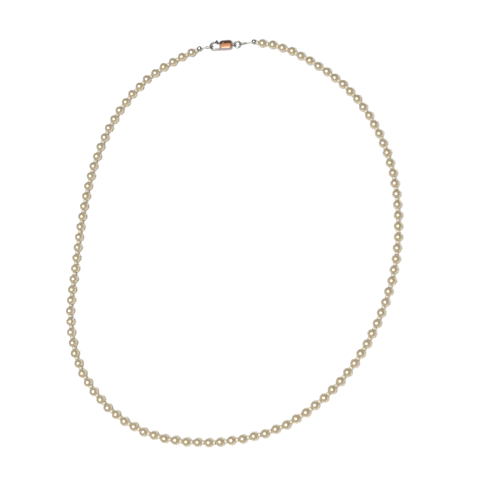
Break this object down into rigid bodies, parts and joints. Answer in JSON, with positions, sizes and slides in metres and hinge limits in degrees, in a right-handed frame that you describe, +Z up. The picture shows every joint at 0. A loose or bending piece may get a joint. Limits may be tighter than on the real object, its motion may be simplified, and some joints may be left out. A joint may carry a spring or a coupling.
{
  "type": "pearl necklace",
  "caption": "Single strand necklace of small round cream pearls with seed bead spacers, closed at the back by a lobster clasp and jump ring.",
  "frame": {"origin": "under the middle of the necklace's bounding box, on the surface it lies on", "axes": "+Z up, +Y towards the clasp, +X to the right seen from above with the clasp at the top"},
  "size_m": [0.1468, 0.1826, 0.0039],
  "materials": {
    "pearl": "gloss",
    "silver": "gloss",
    "clasp": "gloss",
    "spring": "satin",
    "seed_bead": "gloss",
    "thread": "satin"
  },
  "bodies": {
    "clasp": {"clasp_body": "clasp", "trigger_pin": "silver", "trigger_spring": "spring"},
    "trigger": {"trigger_lever": "clasp"},
    "jump_ring": {"jump_ring": "silver"},
    "right_loop": {"right_wire_loop": "silver", "right_crimp": "silver"},
    "left_loop": {"left_wire_loop": "silver", "left_crimp": "silver"},
    "right_link_01": {"right_link_01": "pearl"},
    "right_link_02": {"right_link_02": "pearl"},
    "right_link_03": {"right_link_03": "pearl"},
    "right_link_04": {"right_link_04": "pearl"},
    "right_link_05": {"right_link_05": "pearl"},
    "right_link_06": {"right_link_06": "pearl"},
    "right_link_07": {"right_link_07": "pearl"},
    "right_link_08": {"right_link_08": "pearl"},
    "right_link_09": {"right_link_09": "pearl"},
    "right_link_10": {"right_link_10": "pearl"},
    "right_link_11": {"right_link_11": "pearl"},
    "right_link_12": {"right_link_12": "pearl"},
    "right_link_13": {"right_link_13": "pearl"},
    "right_link_14": {"right_link_14": "pearl"},
    "right_link_15": {"right_link_15": "pearl"},
    "right_link_16": {"right_link_16": "pearl"},
    "right_link_17": {"right_link_17": "pearl"},
    "right_link_18": {"right_link_18": "pearl"},
    "right_link_19": {"right_link_19": "pearl"},
    "right_link_20": {"right_link_20": "pearl"},
    "right_link_21": {"right_link_21": "pearl"},
    "right_link_22": {"right_link_22": "pearl"},
    "right_link_23": {"right_link_23": "pearl"},
    "right_link_24": {"right_link_24": "pearl"},
    "right_link_25": {"right_link_25": "pearl"},
    "right_link_26": {"right_link_26": "pearl"},
    "left_link_01": {"left_link_01": "pearl"},
    "left_link_02": {"left_link_02": "pearl"},
    "left_link_03": {"left_link_03": "pearl"},
    "left_link_04": {"left_link_04": "pearl"},
    "left_link_05": {"left_link_05": "pearl"},
    "left_link_06": {"left_link_06": "pearl"},
    "left_link_07": {"left_link_07": "pearl"},
    "left_link_08": {"left_link_08": "pearl"},
    "left_link_09": {"left_link_09": "pearl"},
    "left_link_10": {"left_link_10": "pearl"},
    "left_link_11": {"left_link_11": "pearl"},
    "left_link_12": {"left_link_12": "pearl"},
    "left_link_13": {"left_link_13": "pearl"},
    "left_link_14": {"left_link_14": "pearl"},
    "left_link_15": {"left_link_15": "pearl"},
    "left_link_16": {"left_link_16": "pearl"},
    "left_link_17": {"left_link_17": "pearl"},
    "left_link_18": {"left_link_18": "pearl"},
    "left_link_19": {"left_link_19": "pearl"},
    "left_link_20": {"left_link_20": "pearl"},
    "left_link_21": {"left_link_21": "pearl"},
    "left_link_22": {"left_link_22": "pearl"},
    "left_link_23": {"left_link_23": "pearl"},
    "left_link_24": {"left_link_24": "pearl"},
    "left_link_25": {"left_link_25": "pearl"}
  },
  "joints": [
    {"name": "trigger_press", "type": "hinge", "parent": "clasp", "child": "trigger", "pos_m": [-0.00398, 0.0892, 0.0013], "axis": [0, 0, 1], "range_deg": [0, 25], "stiffness_Nm_per_rad": 0.004, "springref_deg": -11.46, "deforming": ["trigger_spring"]},
    {"name": "jump_ring_swing", "type": "hinge", "parent": "clasp", "child": "jump_ring", "pos_m": [0.00079, 0.0885, 0.0013], "axis": [0, 1, 0], "range_deg": [-35, 35]},
    {"name": "right_loop_slide", "type": "hinge", "parent": "jump_ring", "child": "right_loop", "pos_m": [0.00227, 0.0885, 0.0013], "axis": [0, 0, 1], "range_deg": [0, 60]},
    {"name": "left_loop_swing", "type": "hinge", "parent": "clasp", "child": "left_loop", "pos_m": [-0.00986, 0.08826, 0.0013], "axis": [-0.1461, 0.9893, 0], "range_deg": [-30, 30]},
    {"name": "right_link_01_lift", "type": "hinge", "parent": "right_loop", "child": "right_link_01", "pos_m": [0.00931, 0.08883, 0.00195], "axis": [-0.2242, -0.9745, 0], "range_deg": [-15, 15]},
    {"name": "right_link_02_turn", "type": "hinge", "parent": "right_link_01", "child": "right_link_02", "pos_m": [0.01857, 0.0867, 0.00195], "axis": [0, 0, 1], "range_deg": [0, 20]},
    {"name": "right_link_03_lift", "type": "hinge", "parent": "right_link_02", "child": "right_link_03", "pos_m": [0.02724, 0.0829, 0.00195], "axis": [-0.5507, -0.8347, 0], "range_deg": [-15, 15]},
    {"name": "right_link_04_turn", "type": "hinge", "parent": "right_link_03", "child": "right_link_04", "pos_m": [0.03517, 0.07767, 0.00195], "axis": [0, 0, 1], "range_deg": [0, 20]},
    {"name": "right_link_05_lift", "type": "hinge", "parent": "right_link_04", "child": "right_link_05", "pos_m": [0.04266, 0.07183, 0.00195], "axis": [-0.6803, -0.7329, 0], "range_deg": [-15, 15]},
    {"name": "right_link_06_turn", "type": "hinge", "parent": "right_link_05", "child": "right_link_06", "pos_m": [0.04962, 0.06537, 0.00195], "axis": [0, 0, 1], "range_deg": [0, 20]},
    {"name": "right_link_07_lift", "type": "hinge", "parent": "right_link_06", "child": "right_link_07", "pos_m": [0.05562, 0.05802, 0.00195], "axis": [-0.8531, -0.5218, 0], "range_deg": [-15, 15]},
    {"name": "right_link_08_turn", "type": "hinge", "parent": "right_link_07", "child": "right_link_08", "pos_m": [0.06058, 0.04992, 0.00195], "axis": [0, 0, 1], "range_deg": [0, 20]},
    {"name": "right_link_09_lift", "type": "hinge", "parent": "right_link_08", "child": "right_link_09", "pos_m": [0.06461, 0.04132, 0.00195], "axis": [-0.9437, -0.3307, 0], "range_deg": [-15, 15]},
    {"name": "right_link_10_turn", "type": "hinge", "parent": "right_link_09", "child": "right_link_10", "pos_m": [0.06775, 0.03236, 0.00195], "axis": [0, 0, 1], "range_deg": [0, 20]},
    {"name": "right_link_11_lift", "type": "hinge", "parent": "right_link_10", "child": "right_link_11", "pos_m": [0.06993, 0.02312, 0.00195], "axis": [-0.9924, -0.1228, 0], "range_deg": [-15, 15]},
    {"name": "right_link_12_turn", "type": "hinge", "parent": "right_link_11", "child": "right_link_12", "pos_m": [0.07109, 0.0137, 0.00195], "axis": [0, 0, 1], "range_deg": [0, 20]},
    {"name": "right_link_13_lift", "type": "hinge", "parent": "right_link_12", "child": "right_link_13", "pos_m": [0.07146, 0.0042, 0.00195], "axis": [-0.9992, 0.0396, 0], "range_deg": [-15, 15]},
    {"name": "right_link_14_turn", "type": "hinge", "parent": "right_link_13", "child": "right_link_14", "pos_m": [0.07108, -0.00529, 0.00195], "axis": [0, 0, 1], "range_deg": [0, 20]},
    {"name": "right_link_15_lift", "type": "hinge", "parent": "right_link_14", "child": "right_link_15", "pos_m": [0.06987, -0.0147, 0.00195], "axis": [-0.9753, 0.2209, 0], "range_deg": [-15, 15]},
    {"name": "right_link_16_turn", "type": "hinge", "parent": "right_link_15", "child": "right_link_16", "pos_m": [0.06778, -0.02397, 0.00195], "axis": [0, 0, 1], "range_deg": [0, 20]},
    {"name": "right_link_17_lift", "type": "hinge", "parent": "right_link_16", "child": "right_link_17", "pos_m": [0.06483, -0.03299, 0.00195], "axis": [-0.9206, 0.3905, 0], "range_deg": [-15, 15]},
    {"name": "right_link_18_turn", "type": "hinge", "parent": "right_link_17", "child": "right_link_18", "pos_m": [0.06112, -0.04174, 0.00195], "axis": [0, 0, 1], "range_deg": [0, 20]},
    {"name": "right_link_19_lift", "type": "hinge", "parent": "right_link_18", "child": "right_link_19", "pos_m": [0.05671, -0.05015, 0.00195], "axis": [-0.833, 0.5533, 0], "range_deg": [-15, 15]},
    {"name": "right_link_20_turn", "type": "hinge", "parent": "right_link_19", "child": "right_link_20", "pos_m": [0.05146, -0.05806, 0.00195], "axis": [0, 0, 1], "range_deg": [0, 20]},
    {"name": "right_link_21_lift", "type": "hinge", "parent": "right_link_20", "child": "right_link_21", "pos_m": [0.0454, -0.06537, 0.00195], "axis": [-0.6975, 0.7166, 0], "range_deg": [-15, 15]},
    {"name": "right_link_22_turn", "type": "hinge", "parent": "right_link_21", "child": "right_link_22", "pos_m": [0.0386, -0.072, 0.00195], "axis": [0, 0, 1], "range_deg": [0, 20]},
    {"name": "right_link_23_lift", "type": "hinge", "parent": "right_link_22", "child": "right_link_23", "pos_m": [0.03109, -0.07781, 0.00195], "axis": [-0.5104, 0.86, 0], "range_deg": [-15, 15]},
    {"name": "right_link_24_turn", "type": "hinge", "parent": "right_link_23", "child": "right_link_24", "pos_m": [0.02293, -0.08265, 0.00195], "axis": [0, 0, 1], "range_deg": [0, 20]},
    {"name": "right_link_25_lift", "type": "hinge", "parent": "right_link_24", "child": "right_link_25", "pos_m": [0.01408, -0.08607, 0.00195], "axis": [-0.2143, 0.9768, 0], "range_deg": [-15, 15]},
    {"name": "right_link_26_turn", "type": "hinge", "parent": "right_link_25", "child": "right_link_26", "pos_m": [0.0048, -0.08811, 0.00195], "axis": [0, 0, 1], "range_deg": [0, 20]},
    {"name": "left_link_01_turn", "type": "hinge", "parent": "left_loop", "child": "left_link_01", "pos_m": [-0.0143, 0.08761, 0.00195], "axis": [0, 0, -1], "range_deg": [0, 20]},
    {"name": "left_link_02_lift", "type": "hinge", "parent": "left_link_01", "child": "left_link_02", "pos_m": [-0.02309, 0.08402, 0.00195], "axis": [0.4562, -0.8899, 0], "range_deg": [-15, 15]},
    {"name": "left_link_03_turn", "type": "hinge", "parent": "left_link_02", "child": "left_link_03", "pos_m": [-0.03154, 0.07969, 0.00195], "axis": [0, 0, -1], "range_deg": [0, 20]},
    {"name": "left_link_04_lift", "type": "hinge", "parent": "left_link_03", "child": "left_link_04", "pos_m": [-0.03936, 0.07432, 0.00195], "axis": [0.7115, -0.7027, 0], "range_deg": [-15, 15]},
    {"name": "left_link_05_turn", "type": "hinge", "parent": "left_link_04", "child": "left_link_05", "pos_m": [-0.04603, 0.06757, 0.00195], "axis": [0, 0, -1], "range_deg": [0, 20]},
    {"name": "left_link_06_lift", "type": "hinge", "parent": "left_link_05", "child": "left_link_06", "pos_m": [-0.05179, 0.06002, 0.00195], "axis": [0.8656, -0.5007, 0], "range_deg": [-15, 15]},
    {"name": "left_link_07_turn", "type": "hinge", "parent": "left_link_06", "child": "left_link_07", "pos_m": [-0.05654, 0.0518, 0.00195], "axis": [0, 0, -1], "range_deg": [0, 20]},
    {"name": "left_link_08_lift", "type": "hinge", "parent": "left_link_07", "child": "left_link_08", "pos_m": [-0.0602, 0.04304, 0.00195], "axis": [0.9509, -0.3096, 0], "range_deg": [-15, 15]},
    {"name": "left_link_09_turn", "type": "hinge", "parent": "left_link_08", "child": "left_link_09", "pos_m": [-0.06314, 0.03401, 0.00195], "axis": [0, 0, -1], "range_deg": [0, 20]},
    {"name": "left_link_10_lift", "type": "hinge", "parent": "left_link_09", "child": "left_link_10", "pos_m": [-0.06533, 0.02477, 0.00195], "axis": [0.9865, -0.1637, 0], "range_deg": [-15, 15]},
    {"name": "left_link_11_turn", "type": "hinge", "parent": "left_link_10", "child": "left_link_11", "pos_m": [-0.06688, 0.0154, 0.00195], "axis": [0, 0, -1], "range_deg": [0, 20]},
    {"name": "left_link_12_lift", "type": "hinge", "parent": "left_link_11", "child": "left_link_12", "pos_m": [-0.06817, 0.00599, 0.00195], "axis": [0.9951, -0.0988, 0], "range_deg": [-15, 15]},
    {"name": "left_link_13_turn", "type": "hinge", "parent": "left_link_12", "child": "left_link_13", "pos_m": [-0.06911, -0.00347, 0.00195], "axis": [0, 0, -1], "range_deg": [0, 20]},
    {"name": "left_link_14_lift", "type": "hinge", "parent": "left_link_13", "child": "left_link_14", "pos_m": [-0.06989, -0.01293, 0.00195], "axis": [0.9945, -0.1048, 0], "range_deg": [-15, 15]},
    {"name": "left_link_15_turn", "type": "hinge", "parent": "left_link_14", "child": "left_link_15", "pos_m": [-0.07089, -0.02238, 0.00195], "axis": [0, 0, -1], "range_deg": [0, 20]},
    {"name": "left_link_16_lift", "type": "hinge", "parent": "left_link_15", "child": "left_link_16", "pos_m": [-0.07146, -0.03186, 0.00195], "axis": [0.9956, 0.0934, 0], "range_deg": [-15, 15]},
    {"name": "left_link_17_turn", "type": "hinge", "parent": "left_link_16", "child": "left_link_17", "pos_m": [-0.07057, -0.04131, 0.00195], "axis": [0, 0, -1], "range_deg": [0, 20]},
    {"name": "left_link_18_lift", "type": "hinge", "parent": "left_link_17", "child": "left_link_18", "pos_m": [-0.06852, -0.05058, 0.00195], "axis": [0.921, 0.3895, 0], "range_deg": [-15, 15]},
    {"name": "left_link_19_turn", "type": "hinge", "parent": "left_link_18", "child": "left_link_19", "pos_m": [-0.06483, -0.05931, 0.00195], "axis": [0, 0, -1], "range_deg": [0, 20]},
    {"name": "left_link_20_lift", "type": "hinge", "parent": "left_link_19", "child": "left_link_20", "pos_m": [-0.05955, -0.06719, 0.00195], "axis": [0.7363, 0.6767, 0], "range_deg": [-15, 15]},
    {"name": "left_link_21_turn", "type": "hinge", "parent": "left_link_20", "child": "left_link_21", "pos_m": [-0.05312, -0.07418, 0.00195], "axis": [0, 0, -1], "range_deg": [0, 20]},
    {"name": "left_link_22_lift", "type": "hinge", "parent": "left_link_21", "child": "left_link_22", "pos_m": [-0.04565, -0.08003, 0.00195], "axis": [0.4775, 0.8786, 0], "range_deg": [-15, 15]},
    {"name": "left_link_23_turn", "type": "hinge", "parent": "left_link_22", "child": "left_link_23", "pos_m": [-0.03731, -0.08456, 0.00195], "axis": [0, 0, -1], "range_deg": [0, 20]},
    {"name": "left_link_24_lift", "type": "hinge", "parent": "left_link_23", "child": "left_link_24", "pos_m": [-0.02828, -0.08744, 0.00195], "axis": [0.1587, 0.9873, 0], "range_deg": [-15, 15]},
    {"name": "left_link_25_turn", "type": "hinge", "parent": "left_link_24", "child": "left_link_25", "pos_m": [-0.0189, -0.08895, 0.00195], "axis": [0, 0, -1], "range_deg": [0, 20]}
  ]
}
